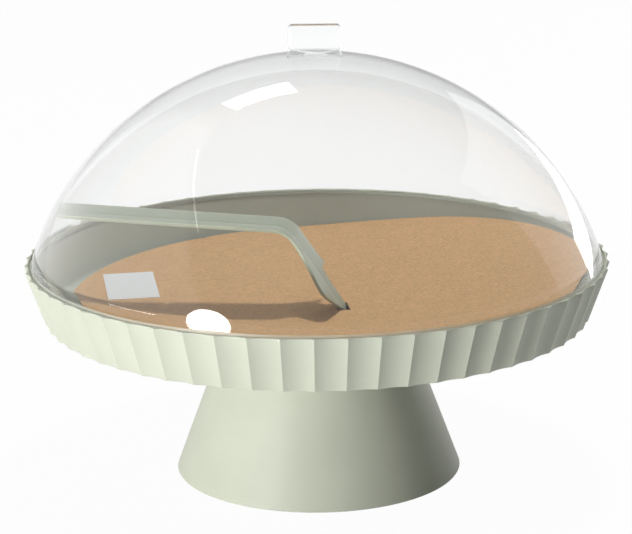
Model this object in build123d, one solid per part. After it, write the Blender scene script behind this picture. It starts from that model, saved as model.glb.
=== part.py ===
from build123d import *
import os
from math import atan2, cos, degrees, radians, sin, sqrt, tan

# Cake stand with a clear lift-off dome, in millimetres.
# A fluted, deep tray sits on a hollow conical foot and is held to it by a bayonet.
# The clear dome rests in a shallow seat in the tray's rim and lifts off by a tab on its crown.
# Inside lie a bent paperboard disc with a blank label, and a cake server whose tip is in its slot.
# +Z is up, the origin is on the table at the middle of the foot, and the front looks along -Y.

# How far a cutting or trimming shape runs past the shape it works on
cut_past = 5.0

# Heights that the stand is built up from
tray_base_height = 84.8
tray_wall_height = 28.2
rim_height = tray_base_height + tray_wall_height

# Tray
tray_rim_radius = 150.0
tray_wall_lean_in = 9.9
tray_base_radius = tray_rim_radius - tray_wall_lean_in
flute_count = 60
flute_depth_at_rim = 1.65
flute_depth_at_base = 1.4
first_ridge_angle = -90.6
tray_floor_thickness = 2.8
tray_floor_top = tray_base_height + tray_floor_thickness
tray_wall_at_seat = 4.2
tray_wall_at_floor = 3.4
tray_floor_fillet = 4.0
tray_wall_top_radius = tray_rim_radius - flute_depth_at_rim - tray_wall_at_seat
tray_wall_foot_radius = tray_base_radius - flute_depth_at_base - tray_wall_at_floor

# Seat for the dome, cut into the tray's rim
seat_depth = 1.5
seat_clearance = 0.4
seat_height = rim_height - seat_depth
rim_beside_seat = 0.85
rim_edge_round = 0.3
seat_radius = tray_rim_radius - flute_depth_at_rim - rim_beside_seat

# Dome, a cap of a sphere with a thicker lip
dome_rise = 106.2
dome_wall = 1.5
dome_lip_height = 5.5
dome_lip_thickness = 3.4
dome_lip_edge_cut = 0.4
dome_crown_height = seat_height + dome_rise
dome_foot_radius = seat_radius - seat_clearance
dome_radius = (dome_foot_radius**2 + dome_rise**2) / (2 * dome_rise)
dome_centre_height = dome_crown_height - dome_radius

# Tab on the crown, bonded to the dome
tab_width = 26.0
tab_foot_width = 27.6
tab_foot_height = 2.4
tab_thickness = 5.0
tab_height = 15.3
tab_corner_round = 1.6
tab_edge_round = 0.7

# Foot
foot_base_radius = 74.2
foot_top_radius = 42.7
foot_wall = 2.8
foot_base_band_width = 4.6
foot_base_band_height = 3.0
foot_edge_cut = 0.5
foot_flange_thickness = 3.0
flange_underside = tray_base_height - foot_flange_thickness
gusset_count = 6
gusset_thickness = 2.0
gusset_drop = 20.0
gusset_reach_at_flange = 3.0
gusset_reach_below = 1.2
gusset_bite = 0.8

# Bayonet between tray and foot
spigot_radius = 33.0
spigot_wall = 2.5
spigot_clearance = 0.4
lug_count = 3
lug_reach = 3.5
lug_thickness = 3.0
lug_half_angle = 12.0
lug_play = 0.3
notch_margin_angle = 2.0
notch_clearance = 0.5
unlock_turn = 40.0
stop_angle = 5.0
stop_play_angle = 0.5
spigot_bottom = flange_underside - lug_play - lug_thickness

# Paperboard disc, flat on its left and bent up to its right
card_side_gap = 2.35
card_thickness = 1.0
card_centre_x = 7.0
card_centre_y = 1.6
card_radius = tray_wall_top_radius - card_side_gap - card_centre_x
card_fold_turn = 7.8
card_fold_start = -17.9
card_bend_length = 80.0
card_bend_angle = 8.9
card_tilt_back = 1.0
card_tilt_right = 0.3
card_lift = 2.8
card_flat_height = tray_floor_top + card_lift
slot_clearance = 0.4
slit_length = 15.0
slit_width = 1.6
slit_turn = -50.0

# Blank label on the disc
label_width = 28.0
label_length = 47.5
label_thickness = 0.2
label_in_from_edge = 30.0
label_x = card_centre_x - card_radius + label_in_from_edge
label_y = 22.3
label_turn = 15.0

# Cake server, one strip with a shallow valley along its middle
server_thickness = 2.5
server_turn = -2.0
server_tip_x = 12.7
server_tip_y = -14.0
server_bend_back = 22.7
server_bend_rise = 35.8
server_end_rise = 13.8
server_tip_height = card_flat_height
server_bend_height = server_tip_height + server_bend_rise
server_end_height = server_bend_height + server_end_rise
server_bend_radius = 13.0
server_handle_width = 27.0
server_end_skew = 1.8
server_end_clearance = 0.6
server_valley_slope = 0.06
handle_past_bend = 8.0
handle_zone_drop = 12.0
blade_shoulder_station = 26.0
blade_shoulder_half_width = 30.0
blade_cut_half_width = 16.0
blade_taper_station = 38.0
blade_taper_half_width = 14.0
blade_tip_station = 43.5
blade_tip_half_width = 2.5
blade_near_swell = 2.0
blade_far_swell = 1.0
blade_zone_depth = 9.0
blade_angle = degrees(atan2(server_bend_rise, server_bend_back))


def polar(radius, angle):
    """Point in the plan at a radius and an angle in degrees."""
    return (radius * cos(radians(angle)), radius * sin(radians(angle)))


def turned(profile):
    """Solid of revolution about Z from a face drawn as (radius, height)."""
    return revolve(Plane.XZ * profile, Axis.Z)


def ring_sector(inner, outer, start, sweep, bottom, top):
    """Part of a flat ring between two angles and two heights."""
    section = Polyline((inner, bottom), (outer, bottom), (outer, top), (inner, top), close=True)
    return Rot(0, 0, start) * revolve(Plane.XZ * make_face(section), Axis.Z, sweep)


def nearest_vertex(shape, x, y):
    """The vertex of a flat drawing that is nearest to a point."""
    return shape.vertices().sort_by_distance((x, y, 0))[0]


def scalloped_face(ridge_radius, depth, height):
    """Round outline of shallow hollows that meet in ridges."""
    step = 360 / flute_count
    hollows = []
    for index in range(flute_count):
        angle = first_ridge_angle + index * step
        hollows.append(
            ThreePointArc(
                polar(ridge_radius, angle),
                polar(ridge_radius - depth, angle + step / 2),
                polar(ridge_radius, angle + step),
            )
        )
    return Pos(0, 0, height) * make_face(hollows)


def make_tray():
    """Deep tray with a fluted, leaning wall, the dome's seat and the bayonet spigot."""
    body = loft(
        [
            scalloped_face(tray_base_radius, flute_depth_at_base, tray_base_height),
            scalloped_face(tray_rim_radius, flute_depth_at_rim, rim_height),
        ],
        ruled=True,
    )
    above = rim_height + cut_past
    hollow = make_face(
        Polyline(
            (0, tray_floor_top),
            (tray_wall_foot_radius, tray_floor_top),
            (tray_wall_top_radius, seat_height),
            (seat_radius, seat_height),
            (seat_radius, rim_height - rim_edge_round),
            (seat_radius + rim_edge_round, rim_height),
            (seat_radius + rim_edge_round, above),
            (0, above),
            close=True,
        )
    )
    floor_corner = nearest_vertex(hollow, tray_wall_foot_radius, tray_floor_top)
    hollow = fillet(floor_corner, tray_floor_fillet)
    tray = body - turned(hollow)
    return tray + make_spigot()


def make_spigot():
    """Short tube under the tray with three lugs that catch under the foot's flange."""
    tube = make_face(
        Polyline(
            (spigot_radius - spigot_wall, spigot_bottom),
            (spigot_radius, spigot_bottom),
            (spigot_radius, tray_base_height),
            (spigot_radius - spigot_wall, tray_base_height),
            close=True,
        )
    )
    spigot = turned(tube)
    for index in range(lug_count):
        start = index * 360 / lug_count - lug_half_angle
        spigot += ring_sector(
            spigot_radius - spigot_wall / 2,
            spigot_radius + lug_reach,
            start,
            2 * lug_half_angle,
            spigot_bottom,
            spigot_bottom + lug_thickness,
        )
    return spigot


def foot_outer_radius(height):
    """Radius of the foot's straight outer cone at a height."""
    return foot_base_radius - (foot_base_radius - foot_top_radius) * height / tray_base_height


def foot_inner_radius(height):
    """Radius of the foot's inside at a height, one wall in from the outer cone."""
    lean = atan2(foot_base_radius - foot_top_radius, tray_base_height)
    return foot_outer_radius(height) - foot_wall / cos(lean)


def make_foot():
    """Hollow conical foot, open below, with a notched flange at its top."""
    flange_bore = spigot_radius + spigot_clearance
    band_inner = foot_base_radius - foot_base_band_width
    shell = make_face(
        Polyline(
            (band_inner, 0),
            (foot_base_radius, 0),
            (foot_top_radius, tray_base_height),
            (flange_bore, tray_base_height),
            (flange_bore, flange_underside),
            (foot_inner_radius(flange_underside), flange_underside),
            (foot_inner_radius(foot_base_band_height), foot_base_band_height),
            (band_inner, foot_base_band_height),
            close=True,
        )
    )
    shell = chamfer(nearest_vertex(shell, foot_base_radius, 0), foot_edge_cut)
    foot = turned(shell)
    for index in range(gusset_count):
        foot += Rot(0, 0, (index + 0.5) * 360 / gusset_count) * make_gusset()
    for index in range(lug_count):
        locked = index * 360 / lug_count
        foot += make_stop(locked - lug_half_angle - stop_play_angle - stop_angle)
        foot += make_stop(locked + unlock_turn + lug_half_angle + stop_play_angle)
        foot -= make_notch(locked + unlock_turn)
    return foot


def make_gusset():
    """Thin rib that braces the flange against the cone."""
    low = flange_underside - gusset_drop
    outline = make_face(
        Polyline(
            (foot_inner_radius(flange_underside) - gusset_reach_at_flange, flange_underside + gusset_bite),
            (foot_inner_radius(flange_underside) + gusset_bite, flange_underside + gusset_bite),
            (foot_inner_radius(low) + gusset_bite, low),
            (foot_inner_radius(low) - gusset_reach_below, low),
            close=True,
        )
    )
    return extrude(Plane.XZ * outline, gusset_thickness / 2, both=True)


def make_stop(start):
    """Block under the flange that a lug turns against."""
    return ring_sector(
        spigot_radius + 2 * spigot_clearance,
        spigot_radius + lug_reach,
        start,
        stop_angle,
        spigot_bottom,
        flange_underside + gusset_bite,
    )


def make_notch(middle):
    """Gap in the flange that lets a lug drop through."""
    half_angle = lug_half_angle + notch_margin_angle
    return ring_sector(
        spigot_radius,
        spigot_radius + lug_reach + notch_clearance,
        middle - half_angle,
        2 * half_angle,
        flange_underside - gusset_bite,
        tray_base_height + gusset_bite,
    )


def make_dome_shell():
    """Clear cap of a sphere with a thicker lip at its lower edge."""
    lip_top = seat_height + dome_lip_height
    inner_radius = dome_radius - dome_wall
    lip_inner = dome_foot_radius - dome_lip_thickness
    foot_angle = degrees(atan2(seat_height - dome_centre_height, dome_foot_radius))
    ledge_radius = sqrt(inner_radius**2 - (lip_top - dome_centre_height)**2)
    ledge_angle = degrees(atan2(lip_top - dome_centre_height, ledge_radius))
    outside = CenterArc((0, dome_centre_height), dome_radius, foot_angle, 90 - foot_angle)
    inside = CenterArc((0, dome_centre_height), inner_radius, ledge_angle, 90 - ledge_angle)
    crown = Line((0, dome_crown_height), (0, dome_crown_height - dome_wall))
    lip = Polyline(
        (ledge_radius, lip_top),
        (lip_inner, lip_top - (ledge_radius - lip_inner)),
        (lip_inner, seat_height),
        (dome_foot_radius, seat_height),
    )
    section = make_face([outside, crown, inside, lip])
    section = chamfer(nearest_vertex(section, lip_inner, seat_height), dome_lip_edge_cut)
    section = chamfer(nearest_vertex(section, dome_foot_radius, seat_height), dome_lip_edge_cut)
    return turned(section)


def make_dome_tab():
    """Flat finger tab whose foot follows the dome's crown."""
    top = dome_crown_height + tab_height
    low = dome_crown_height - tab_foot_height
    waist = dome_crown_height + tab_foot_height
    outline = make_face(
        Polyline(
            (-tab_foot_width / 2, low),
            (tab_foot_width / 2, low),
            (tab_foot_width / 2, dome_crown_height),
            (tab_width / 2, waist),
            (tab_width / 2, top),
            (-tab_width / 2, top),
            (-tab_width / 2, waist),
            (-tab_foot_width / 2, dome_crown_height),
            close=True,
        )
    )
    for side in (-1, 1):
        outline = fillet(nearest_vertex(outline, side * tab_width / 2, top), tab_corner_round)
    blank = extrude(Plane.XZ * outline, tab_thickness / 2, both=True)
    face_edges = blank.edges().filter_by(lambda edge: abs(edge.center().Y) > tab_thickness / 4)
    blank = fillet(face_edges.filter_by_position(Axis.Z, waist, top), tab_edge_round)
    ball = Pos(0, 0, dome_centre_height) * Sphere(dome_radius)
    return blank - ball


def card_place():
    """Where the disc's own drawing goes: its flat side, tilted and turned in the tray."""
    turn = radians(card_fold_turn)
    x = card_centre_x + card_fold_start * cos(turn)
    y = card_centre_y + card_fold_start * sin(turn)
    return Pos(x, y, card_flat_height) * Rot(card_tilt_back, 0, 0) * Rot(0, -card_tilt_right, 0) * Rot(
        0, 0, card_fold_turn
    )


def make_card_insert():
    """Paperboard disc: flat, then one long soft bend, then straight up to the right."""
    reach = 2 * card_radius
    bend_radius = card_bend_length / radians(card_bend_angle)
    flat = Line((-reach, 0), (0, 0))
    bend = JernArc((0, 0), (1, 0), bend_radius, card_bend_angle)
    rise = Line(bend @ 1, (bend @ 1) + (bend % 1) * reach)
    strip = trace([flat, bend, rise], card_thickness)
    sheet = extrude(Plane.XZ * strip, reach, both=True)
    sheet = Pos(0, 0, card_thickness / 2) * sheet
    sheet = card_place() * sheet
    height = card_flat_height
    disc = Pos(card_centre_x, card_centre_y, height) * Cylinder(card_radius, 2 * height)
    return (sheet & disc) - make_card_slot()


def blade_half_width(station, start, start_width):
    """Half width of the blade at a station on a straight edge from the start to the tip."""
    share = (station - start) / (blade_tip_station - start)
    return start_width + (blade_tip_half_width - start_width) * share


def make_card_slot():
    """Opening that the blade's tip pushes through, with the rest of the slit beside it."""
    lean = radians(blade_angle)
    top = card_flat_height + card_thickness
    station = (server_bend_height - top) / sin(lean) - server_thickness / tan(lean)
    near = slot_clearance + blade_half_width(station, blade_taper_station, blade_taper_half_width)
    far = slot_clearance + blade_half_width(station, blade_shoulder_station, blade_cut_half_width)
    right = (server_tip_height - card_flat_height) / tan(lean) + slot_clearance
    left = (server_tip_height - top) / tan(lean) - server_thickness / sin(lean) - slot_clearance
    mouth = Polyline((left, -near), (right, -near), (right, far), (left, far), close=True)
    slit = Pos(right, -near) * Rot(0, 0, slit_turn) * SlotOverall(slit_length, slit_width)
    place = Pos(server_tip_x, server_tip_y, card_flat_height) * Rot(0, 0, server_turn)
    return place * extrude(make_face(mouth) + slit, cut_past, both=True)


def make_card_label():
    """Thin blank label that lies on the disc's flat side."""
    place = card_place()
    spot = place.inverse() * Pos(label_x, label_y, card_flat_height)
    centre = spot.position
    label = Box(label_width, label_length, label_thickness)
    height = card_thickness + label_thickness / 2
    return place * Pos(centre.X, centre.Y, height) * Rot(0, 0, label_turn - card_fold_turn) * label


def server_end_back():
    """How far the handle's end is behind the tip: its near corner just clears the dome."""
    turn = radians(server_turn)
    inner_radius = sqrt((dome_radius - dome_wall)**2 - (server_end_height - dome_centre_height)**2)
    tip_forward = server_tip_x * cos(turn) + server_tip_y * sin(turn)
    tip_aside = server_tip_y * cos(turn) - server_tip_x * sin(turn)
    corner_aside = tip_aside - server_handle_width / 2
    return tip_forward + sqrt((inner_radius - server_end_clearance)**2 - corner_aside**2)


def make_cake_server():
    """Server moulded as one bent strip: a flat handle, a bend and a spade-shaped blade."""
    half = server_thickness / 2
    lean = radians(blade_angle)
    tip_x = cut_past * cos(lean) - half * sin(lean)
    tip_z = server_tip_height - half * cos(lean) - cut_past * sin(lean)
    middle = FilletPolyline(
        (-server_end_back() - cut_past, server_end_height - half),
        (-server_bend_back - half * tan(lean / 2), server_bend_height - half),
        (tip_x, tip_z),
        radius=server_bend_radius,
    )
    side = Plane.XZ * trace(middle, server_thickness)
    reach = blade_shoulder_half_width + cut_past
    far_half = extrude(side, reach, dir=(0, 1, server_valley_slope))
    near_half = extrude(side, reach, dir=(0, -1, server_valley_slope))
    strip = far_half + near_half
    server = strip & (make_handle_zone() + make_blade_zone())
    return Pos(server_tip_x, server_tip_y, 0) * Rot(0, 0, server_turn) * server


def make_handle_zone():
    """Space that the server's handle and bend lie in, seen from above."""
    half = server_handle_width / 2
    front = handle_past_bend - server_bend_back
    back = -server_end_back()
    outline = make_face(
        Polyline(
            (back, -half),
            (front, -half),
            (front, half),
            (back - server_end_skew, half),
            close=True,
        )
    )
    low = server_bend_height - handle_zone_drop
    return Pos(0, 0, low) * extrude(outline, server_end_height + cut_past - low)


def make_blade_zone():
    """Space that the blade lies in, drawn along the blade from the bend to its tip."""
    neck = server_handle_width / 2
    shoulder = blade_shoulder_half_width
    station = blade_shoulder_station
    tip = blade_tip_station
    near_edge = Spline(
        (0, -neck),
        (station / 2, -(neck + shoulder) / 2 - blade_near_swell),
        (station, -shoulder),
        (blade_taper_station, -blade_taper_half_width),
    )
    far_edge = Spline(
        (0, neck),
        (station / 2, (neck + shoulder) / 2 + blade_far_swell),
        (station, shoulder),
    )
    cut = Polyline(
        (station, shoulder),
        (station, blade_cut_half_width),
        (tip, blade_tip_half_width),
        (tip, -blade_tip_half_width),
        (blade_taper_station, -blade_taper_half_width),
    )
    back = Line((0, -neck), (0, neck))
    outline = make_face([near_edge, far_edge, cut, back])
    lean = radians(blade_angle)
    along = (cos(lean), 0, -sin(lean))
    out = (sin(lean), 0, cos(lean))
    blade_plane = Plane(origin=(-server_bend_back, 0, server_bend_height), x_dir=along, z_dir=out)
    return extrude(blade_plane * outline, blade_zone_depth, both=True)


def main():
    """Write one STEP file for each piece."""
    makers = {
        "tray": make_tray,
        "foot": make_foot,
        "dome_shell": make_dome_shell,
        "dome_tab": make_dome_tab,
        "card_insert": make_card_insert,
        "card_label": make_card_label,
        "cake_server": make_cake_server,
    }
    os.makedirs("parts", exist_ok=True)
    for name, maker in makers.items():
        export_step(maker(), "parts/" + name + ".step")


main()
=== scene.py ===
from math import acos, asin, atan2, cos, hypot, pi, radians, sin, sqrt, tan

import bmesh
import bpy
from bpy.props import FloatProperty, FloatVectorProperty, IntProperty, PointerProperty
from bpy.types import Operator, Panel, PropertyGroup
from mathutils import Matrix, Vector
from mathutils.geometry import delaunay_2d_cdt


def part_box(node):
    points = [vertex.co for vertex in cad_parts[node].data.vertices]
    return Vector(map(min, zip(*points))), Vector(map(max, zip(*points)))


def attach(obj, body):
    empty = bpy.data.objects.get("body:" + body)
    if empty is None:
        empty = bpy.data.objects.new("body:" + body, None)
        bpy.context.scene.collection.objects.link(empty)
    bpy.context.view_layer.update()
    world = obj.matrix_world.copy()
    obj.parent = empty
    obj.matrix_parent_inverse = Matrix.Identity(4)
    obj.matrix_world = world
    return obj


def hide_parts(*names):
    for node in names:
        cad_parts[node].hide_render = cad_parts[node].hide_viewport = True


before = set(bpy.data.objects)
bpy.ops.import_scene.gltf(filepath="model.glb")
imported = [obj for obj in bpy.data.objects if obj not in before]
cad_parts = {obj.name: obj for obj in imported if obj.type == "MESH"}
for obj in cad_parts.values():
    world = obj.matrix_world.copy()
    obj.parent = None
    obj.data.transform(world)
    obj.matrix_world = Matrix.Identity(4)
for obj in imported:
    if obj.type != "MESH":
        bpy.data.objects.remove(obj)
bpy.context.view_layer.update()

bl_info = {
    "name": "Cake Stand with Dome",
    "version": (1, 0, 0),
    "blender": (4, 5, 0),
    "location": "3D View > Sidebar > Cake Stand",
    "description": "Builds a fluted cake stand with a clear dome, a card and a server",
    "category": "Object",
}

MM = 0.001

# Heights and radii that the frame gives
TRAY_LOW, TRAY_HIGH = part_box("tray")
DOME_LOW, DOME_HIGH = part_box("dome_shell")
TAB_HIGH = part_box("dome_tab")[1]
RIM_HEIGHT = TRAY_HIGH.z
SEAT_HEIGHT = DOME_LOW.z
CROWN_HEIGHT = DOME_HIGH.z

# Edges sharper than this angle stay sharp in the shading
SHARP_ANGLE = radians(38)
# Lengths in metres and angles in radians that differ by less than this are the same
TINY = 1e-6

# Steps round the dome, along its arc, round the card and along the tab's curved sole
DOME_SEGMENTS = 256
DOME_STEPS = 72
CARD_STEPS = 240
SOLE_STEPS = 12
# Spacing of the points that shape the card, and the rim that they keep clear of
CARD_SPACING = 5 * MM
CARD_MARGIN = 1.5 * MM
# Plain rings that keep the tray's flat faces short, as radii in millimetres
UNDERSIDE_RINGS = (33, 70, 105, 130)
FLOOR_RINGS = (100, 60, 25)


def srgb(code):
    """Linear colour for a six-digit sRGB hex code."""
    channels = [int(code[start:start + 2], 16) / 255 for start in (0, 2, 4)]
    linear = [c / 12.92 if c <= 0.04045 else ((c + 0.055) / 1.055) ** 2.4 for c in channels]
    return (*linear, 1.0)


def add_node(tree, kind, inputs=None, **settings):
    """Adds one node. An input is a value, or another node's output socket to link."""
    made = tree.nodes.new(kind)
    for name, value in settings.items():
        setattr(made, name, value)
    for key, value in (inputs or {}).items():
        if isinstance(value, bpy.types.NodeSocket):
            tree.links.new(value, made.inputs[key])
        else:
            made.inputs[key].default_value = value
    return made


class TraySizes(PropertyGroup):
    flute_count: IntProperty(
        name="Flutes", description="Hollow flutes round the tray", default=60, min=12)
    first_ridge_angle: FloatProperty(
        name="First ridge", description="Direction of one ridge from +X",
        default=radians(-90.6), unit="ROTATION")
    base_height: FloatProperty(
        name="Underside height", description="Height of the tray's underside",
        default=84.8 * MM, unit="LENGTH")
    base_radius: FloatProperty(
        name="Base radius", description="Radius over the ridges at the underside",
        default=140.1 * MM, unit="LENGTH")
    rim_radius: FloatProperty(
        name="Rim radius", description="Radius over the ridges at the rim",
        default=150.0 * MM, unit="LENGTH")
    base_flute_depth: FloatProperty(
        name="Flute depth below", description="Depth of a flute at the underside",
        default=1.4 * MM, unit="LENGTH")
    rim_flute_depth: FloatProperty(
        name="Flute depth above", description="Depth of a flute at the rim",
        default=1.65 * MM, unit="LENGTH")
    ridge_round: FloatProperty(
        name="Ridge rounding", description="Radius of the rounded ridges",
        default=0.45 * MM, unit="LENGTH")
    floor_thickness: FloatProperty(
        name="Floor", description="Thickness of the tray's floor", default=2.8 * MM, unit="LENGTH")
    floor_radius: FloatProperty(
        name="Inner floor radius", description="Where the inner wall would meet the floor",
        default=135.3 * MM, unit="LENGTH")
    wall_top_radius: FloatProperty(
        name="Inner wall radius above", description="Radius of the inner wall at the dome's seat",
        default=144.15 * MM, unit="LENGTH")
    seat_radius: FloatProperty(
        name="Seat radius", description="Radius of the step that holds the dome",
        default=147.5 * MM, unit="LENGTH")
    floor_round: FloatProperty(
        name="Floor rounding", description="Radius between the floor and the inner wall",
        default=4.0 * MM, unit="LENGTH")
    plastic: FloatVectorProperty(
        name="Plastic", description="Colour of the moulded plastic", subtype="COLOR",
        size=4, default=srgb("BCC0B0"), min=0, max=1)


class SpigotSizes(PropertyGroup):
    radius: FloatProperty(
        name="Radius", description="Outer radius of the tube under the tray",
        default=33.0 * MM, unit="LENGTH")
    wall: FloatProperty(
        name="Wall", description="Wall of the tube", default=2.5 * MM, unit="LENGTH")
    lug_count: IntProperty(name="Lugs", description="Bayonet lugs on the tube", default=3, min=2)
    lug_reach: FloatProperty(
        name="Lug reach", description="How far a lug stands out", default=3.5 * MM, unit="LENGTH")
    lug_thickness: FloatProperty(
        name="Lug thickness", description="Height of a lug", default=3.0 * MM, unit="LENGTH")
    lug_half_angle: FloatProperty(
        name="Lug half angle", description="Half the angle that a lug covers",
        default=radians(12), unit="ROTATION")


class DomeSizes(PropertyGroup):
    foot_radius: FloatProperty(
        name="Foot radius", description="Outer radius of the dome at its foot",
        default=147.1 * MM, unit="LENGTH")
    wall: FloatProperty(
        name="Wall", description="Wall of the dome", default=1.5 * MM, unit="LENGTH")
    lip_height: FloatProperty(
        name="Lip height", description="Height of the thicker lip", default=5.5 * MM, unit="LENGTH")
    lip_thickness: FloatProperty(
        name="Lip thickness", description="Thickness of the lip at its foot",
        default=3.4 * MM, unit="LENGTH")
    edge_round: FloatProperty(
        name="Edge rounding", description="Rounding of the lip's two edges",
        default=0.5 * MM, unit="LENGTH")
    # Height over the tray's rim of the whitish band that paints the highlight along the dome's foot
    highlight_band_height: FloatProperty(
        name="Matt foot", description="Height of the foot's matt band over the tray's rim",
        default=0.45 * MM, unit="LENGTH")
    seat_gap: FloatProperty(
        name="Gap under the lip", description="Hair's breadth between the lip and the seat",
        default=0.05 * MM, unit="LENGTH")
    tint: FloatVectorProperty(
        name="Tint", description="Colour of the clear plastic", subtype="COLOR",
        size=4, default=srgb("FEFFFF"), min=0, max=1)


class TabSizes(PropertyGroup):
    width: FloatProperty(
        name="Width", description="Width of the tab", default=26.0 * MM, unit="LENGTH")
    flare_height: FloatProperty(
        name="Flare height", description="Height of the flare at the tab's foot",
        default=2.4 * MM, unit="LENGTH")
    corner_round: FloatProperty(
        name="Corner rounding", description="Radius of the two top corners",
        default=1.6 * MM, unit="LENGTH")
    edge_round: FloatProperty(
        name="Edge rounding", description="Rounding of the long edges", default=0.7 * MM, unit="LENGTH")


class ServerSizes(PropertyGroup):
    thickness: FloatProperty(
        name="Thickness", description="Thickness of the strip", default=2.0 * MM, unit="LENGTH")
    tip_x: FloatProperty(
        name="Tip X", description="Tip from the axis", default=14.1 * MM, unit="LENGTH")
    tip_y: FloatProperty(
        name="Tip Y", description="Tip from the axis", default=-21.9 * MM, unit="LENGTH")
    turn: FloatProperty(
        name="Turn", description="Turn of the server in the plan", default=radians(-6.2), unit="ROTATION")
    tip_height: FloatProperty(
        name="Tip height", description="Height of the tip", default=90.4 * MM, unit="LENGTH")
    bend_height: FloatProperty(
        name="Bend height", description="Height of the bend", default=133.2 * MM, unit="LENGTH")
    bend_back: FloatProperty(
        name="Bend back", description="Bend behind the tip", default=28.2 * MM, unit="LENGTH")
    end_height: FloatProperty(
        name="End height", description="Height of the handle's end", default=139.2 * MM, unit="LENGTH")
    end_back: FloatProperty(
        name="End back", description="Handle's end behind the tip", default=143.7 * MM, unit="LENGTH")
    bend_radius: FloatProperty(
        name="Bend radius", description="Radius of the bend", default=12.0 * MM, unit="LENGTH")
    handle_width: FloatProperty(
        name="Handle width", description="Width of the handle", default=27.0 * MM, unit="LENGTH")
    end_skew: FloatProperty(
        name="End skew", description="How far the end is cut askew", default=4.6 * MM, unit="LENGTH")
    valley_slope: FloatProperty(
        name="Valley slope", description="Rise of each side from the middle crease", default=0.1)
    rib_height: FloatProperty(
        name="Rib height", description="Height of the thin rib in the crease",
        default=0.3 * MM, unit="LENGTH")
    rib_half_width: FloatProperty(
        name="Rib half width", description="Half the width of the thin rib in the crease",
        default=0.55 * MM, unit="LENGTH")
    upper_round: FloatProperty(
        name="Upper edge", description="Rounding of the upper edge", default=0.25 * MM, unit="LENGTH")
    lower_slant: FloatProperty(
        name="Lower edge", description="Slant that thins the strip's lower edge",
        default=1.5 * MM, unit="LENGTH")
    # A darker copy of the tray's plastic colour: painted shade on the server
    plastic: FloatVectorProperty(
        name="Plastic", description="Colour of the thin moulding", subtype="COLOR",
        size=4, default=srgb("A9AF9C"), min=0, max=1)


class CardSizes(PropertyGroup):
    radius: FloatProperty(
        name="Radius", description="Radius of the disc", default=134.8 * MM, unit="LENGTH")
    thickness: FloatProperty(
        name="Thickness", description="Thickness of the board", default=1.0 * MM, unit="LENGTH")
    centre_x: FloatProperty(
        name="Centre X", description="Middle of the disc", default=7.0 * MM, unit="LENGTH")
    centre_y: FloatProperty(
        name="Centre Y", description="Middle of the disc", default=1.6 * MM, unit="LENGTH")
    flat_height: FloatProperty(
        name="Height", description="Height of the flat side's underside", default=90.4 * MM, unit="LENGTH")
    fold_turn: FloatProperty(
        name="Fold turn", description="Turn of the bend in the plan", default=radians(7.8), unit="ROTATION")
    fold_start: FloatProperty(
        name="Bend start", description="Where the bend starts from the middle",
        default=-17.9 * MM, unit="LENGTH")
    bend_length: FloatProperty(
        name="Bend length", description="Length of the soft bend", default=80.0 * MM, unit="LENGTH")
    bend_angle: FloatProperty(
        name="Bend angle", description="Angle of the soft bend", default=radians(8.9), unit="ROTATION")
    tilt_back: FloatProperty(
        name="Tilt back", description="Rise towards the back", default=radians(1), unit="ROTATION")
    tilt_right: FloatProperty(
        name="Tilt right", description="Rise towards the right", default=radians(0.3), unit="ROTATION")
    label_x: FloatProperty(
        name="Label X", description="Middle of the label", default=-97.9 * MM, unit="LENGTH")
    label_y: FloatProperty(
        name="Label Y", description="Middle of the label", default=23.0 * MM, unit="LENGTH")
    label_width: FloatProperty(
        name="Label width", description="Short side of the label", default=26.7 * MM, unit="LENGTH")
    label_length: FloatProperty(
        name="Label length", description="Long side of the label", default=47.7 * MM, unit="LENGTH")
    label_turn: FloatProperty(
        name="Label turn", description="Turn of the label in the plan",
        default=radians(8.2), unit="ROTATION")
    label_thickness: FloatProperty(
        name="Label thickness", description="Thickness of the paper", default=0.2 * MM, unit="LENGTH")
    board: FloatVectorProperty(
        name="Board", description="Colour of the kraft board", subtype="COLOR",
        size=4, default=srgb("D3A776"), min=0, max=1)


def mesh_object(name, bm):
    """Object at the origin from a finished bmesh, smooth except at its sharp edges."""
    mesh = bpy.data.meshes.new(name)
    bm.to_mesh(mesh)
    bm.free()
    made = bpy.data.objects.new(name, mesh)
    bpy.context.scene.collection.objects.link(made)
    smooth_by_angle(made)
    return made


def smooth_by_angle(piece):
    """Shades a piece smooth, and keeps its sharp edges."""
    piece.data.shade_smooth()
    piece.data.set_sharp_from_angle(angle=SHARP_ANGLE)


def bake_modifiers(piece):
    """Turns a piece's modifiers into plain mesh."""
    bpy.context.view_layer.update()
    depsgraph = bpy.context.evaluated_depsgraph_get()
    mesh = bpy.data.meshes.new_from_object(piece.evaluated_get(depsgraph))
    piece.modifiers.clear()
    old = piece.data
    piece.data = mesh
    bpy.data.meshes.remove(old)
    mesh.name = piece.name
    smooth_by_angle(piece)
    return piece


def place_piece(piece, body, node, material=None):
    """Hands a finished piece to the body that it moves with, in place of its CAD node."""
    if not piece.data.polygons:
        raise RuntimeError(piece.name + " has no faces")
    if material is not None:
        piece.data.materials.clear()
        piece.data.materials.append(material)
    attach(piece, body)
    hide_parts(node)


def polar(radius, angle, height):
    """Point at a radius, a direction from +X and a height."""
    return Vector((radius * cos(angle), radius * sin(angle), height))


def arc(centre, radius, start, end, steps):
    """Points of an arc in a section, as (radius, height), from one angle to another."""
    points = []
    for step in range(steps + 1):
        angle = start + (end - start) * step / steps
        points.append((centre[0] + radius * cos(angle), centre[1] + radius * sin(angle)))
    return points


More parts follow.
